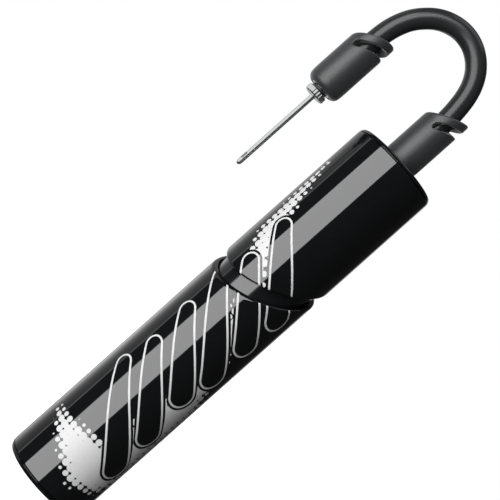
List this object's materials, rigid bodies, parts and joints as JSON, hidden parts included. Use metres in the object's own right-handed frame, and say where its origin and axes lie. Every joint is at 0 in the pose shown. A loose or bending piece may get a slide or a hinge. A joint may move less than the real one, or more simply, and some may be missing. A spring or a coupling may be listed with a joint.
{
  "type": "ball hand pump",
  "caption": "Pocket-size hand pump with a slanted parting groove between handle and head, and a flexible hose arching over to a screw-in inflation needle.",
  "frame": {"origin": "centre of the handle's end face, on the surface that the closed pump stands on", "axes": "+Z along the barrel from the handle to the head; the hose arches from the head over to -X in the XZ plane, so the needle hangs beside the head on the -X side"},
  "size_m": [0.0603, 0.034, 0.2104],
  "materials": {
    "shell_black": "high-gloss black with a printed pale motif",
    "tube_black": "gloss black",
    "inner_plastic": "moulded",
    "nylon": "moulded, low friction",
    "boot_rubber": "matte, fine moulded grain",
    "seal_rubber": "smooth",
    "hose_cover": "fine braid under a clear black skin",
    "brass": "turned",
    "nickel": "bright nickel plate",
    "steel": "ground"
  },
  "bodies": {
    "handle": {"handle_sleeve": "shell_black", "handle_end_cap": "shell_black", "rod_screw": "steel", "rod_washer": "steel", "piston_rod": "steel", "base_bumper": "boot_rubber", "rebound_bumper": "boot_rubber", "piston_head": "nylon", "piston_screw": "steel"},
    "piston_ring": {"piston_seal": "seal_rubber"},
    "guide": {"guide_ring": "nylon", "rod_wiper": "seal_rubber"},
    "barrel": {"barrel_tube": "tube_black", "gland_cap": "inner_plastic", "head_core": "inner_plastic", "head_seal": "seal_rubber", "head_sleeve": "shell_black", "head_end_cap": "shell_black", "valve_seat": "brass", "valve_spring": "steel", "valve_retainer": "brass", "socket_seal": "seal_rubber", "hose_socket": "brass"},
    "valve": {"valve_ball": "steel"},
    "hose_thread": {"fitting_seal": "seal_rubber"},
    "hose": {"hose_fitting": "brass", "pump_ferrule": "steel", "pump_boot": "boot_rubber", "hose": "hose_cover", "needle_boot": "boot_rubber", "needle_ferrule": "steel", "needle_socket": "nickel"},
    "needle_thread": {"needle_seal": "seal_rubber"},
    "needle": {"needle_base": "nickel", "needle_tube": "nickel"}
  },
  "joints": [
    {"name": "pump_stroke", "type": "slide", "parent": "handle", "child": "guide", "axis": [0, 0, 1], "range_m": [0, 0.078]},
    {"name": "barrel_twist", "type": "hinge", "parent": "guide", "child": "barrel", "pos_m": [0, 0, 0], "axis": [0, 0, 1], "range_deg": [-25, 25]},
    {"name": "seal_float", "type": "slide", "parent": "handle", "child": "piston_ring", "axis": [0, 0, 1], "range_m": [0, 0.0009]},
    {"name": "valve_lift", "type": "slide", "parent": "barrel", "child": "valve", "axis": [0, 0, 1], "range_m": [0, 0.0012], "stiffness_N_per_m": 50, "springref_m": -0.002, "deforming": ["valve_spring"]},
    {"name": "hose_turn", "type": "hinge", "parent": "hose_thread", "child": "hose", "pos_m": [0, 0, 0], "axis": [0, 0, 1], "range_deg": [0, 2880]},
    {"name": "hose_advance", "type": "slide", "parent": "barrel", "child": "hose_thread", "axis": [0, 0, 1], "range_m": [0, 0.0081]},
    {"name": "needle_turn", "type": "hinge", "parent": "needle_thread", "child": "needle", "pos_m": [-0.0365, 0, 0.157], "axis": [0, 0, -1], "range_deg": [0, 1800]},
    {"name": "needle_advance", "type": "slide", "parent": "hose", "child": "needle_thread", "axis": [0, 0, -1], "range_m": [0, 0.00397]}
  ],
  "couplings": [
    {"joint": "hose_advance", "follows": "hose_turn", "m_per_rad": 0.00015915},
    {"joint": "needle_turn", "follows": "needle_advance", "rad_per_m": 7913.3}
  ]
}
